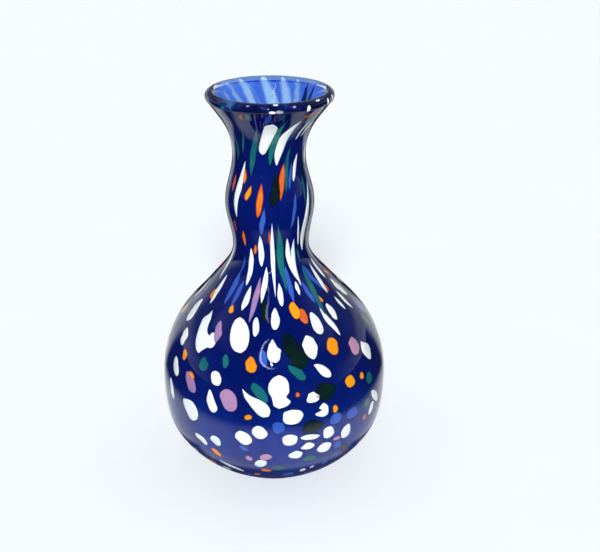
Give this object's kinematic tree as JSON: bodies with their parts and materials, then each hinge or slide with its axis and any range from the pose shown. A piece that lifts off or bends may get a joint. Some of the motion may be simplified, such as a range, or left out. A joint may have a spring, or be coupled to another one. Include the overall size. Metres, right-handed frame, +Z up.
{
  "type": "blown glass vase",
  "caption": "Bottle-shaped blown glass vase: round belly, slim waisted neck and flared rolled lip, cobalt glass cased over coloured chips. Holds a few stems or stands as decoration.",
  "frame": {"origin": "centre of the foot, on the surface the vase stands on", "axes": "+Z up the axis of the vase to the lip; -Y is the side that shows in the usual view; the form is a turned one, so X and Y are alike"},
  "size_m": [0.108, 0.108, 0.1874],
  "materials": {
    "clear_glass": "thick clear glass, fire polished, very smooth",
    "cobalt_glass": "transparent deep cobalt blue, fire polished",
    "white_frit": "opaque white glass under clear glass",
    "orange_frit": "opaque orange glass under clear glass",
    "red_frit": "opaque red-orange glass under clear glass",
    "teal_frit": "dark teal green glass under clear glass",
    "mauve_frit": "milky mauve glass under clear glass",
    "black_frit": "black-green glass under clear glass",
    "blue_frit": "milky light blue glass under clear glass"
  },
  "bodies": {
    "root": {"cobalt_bubble": "cobalt_glass", "clear_casing": "clear_glass", "black_chip_01": "black_frit", "black_chip_02": "black_frit", "black_chip_03": "black_frit", "black_chip_04": "black_frit", "black_chip_05": "black_frit", "blue_chip_01": "blue_frit", "mauve_chip_01": "mauve_frit", "mauve_chip_02": "mauve_frit", "mauve_chip_03": "mauve_frit", "orange_chip_01": "orange_frit", "orange_chip_02": "orange_frit", "orange_chip_03": "orange_frit", "orange_chip_04": "orange_frit", "orange_chip_05": "orange_frit", "orange_chip_06": "orange_frit", "orange_chip_07": "orange_frit", "red_chip_01": "red_frit", "red_chip_02": "red_frit", "teal_chip_01": "teal_frit", "teal_chip_02": "teal_frit", "teal_chip_03": "teal_frit", "teal_chip_04": "teal_frit", "white_chip_01": "white_frit", "white_chip_02": "white_frit", "white_chip_03": "white_frit", "white_chip_04": "white_frit", "white_chip_05": "white_frit", "white_chip_06": "white_frit", "white_chip_07": "white_frit", "white_chip_08": "white_frit", "white_chip_09": "white_frit", "white_chip_10": "white_frit", "white_chip_11": "white_frit", "white_chip_12": "white_frit", "white_chip_13": "white_frit", "white_chip_14": "white_frit", "white_chip_15": "white_frit", "white_chip_16": "white_frit", "white_chip_17": "white_frit", "white_chip_18": "white_frit", "white_chip_19": "white_frit", "white_chip_20": "white_frit", "white_chip_21": "white_frit", "white_chip_22": "white_frit", "white_chip_23": "white_frit", "white_chip_24": "white_frit", "white_chip_25": "white_frit", "white_chip_26": "white_frit", "white_chip_27": "white_frit", "white_chip_28": "white_frit", "white_chip_29": "white_frit", "white_chip_30": "white_frit", "white_chip_31": "white_frit", "white_chip_32": "white_frit", "white_chip_33": "white_frit", "white_chip_34": "white_frit"}
  },
  "joints": []
}
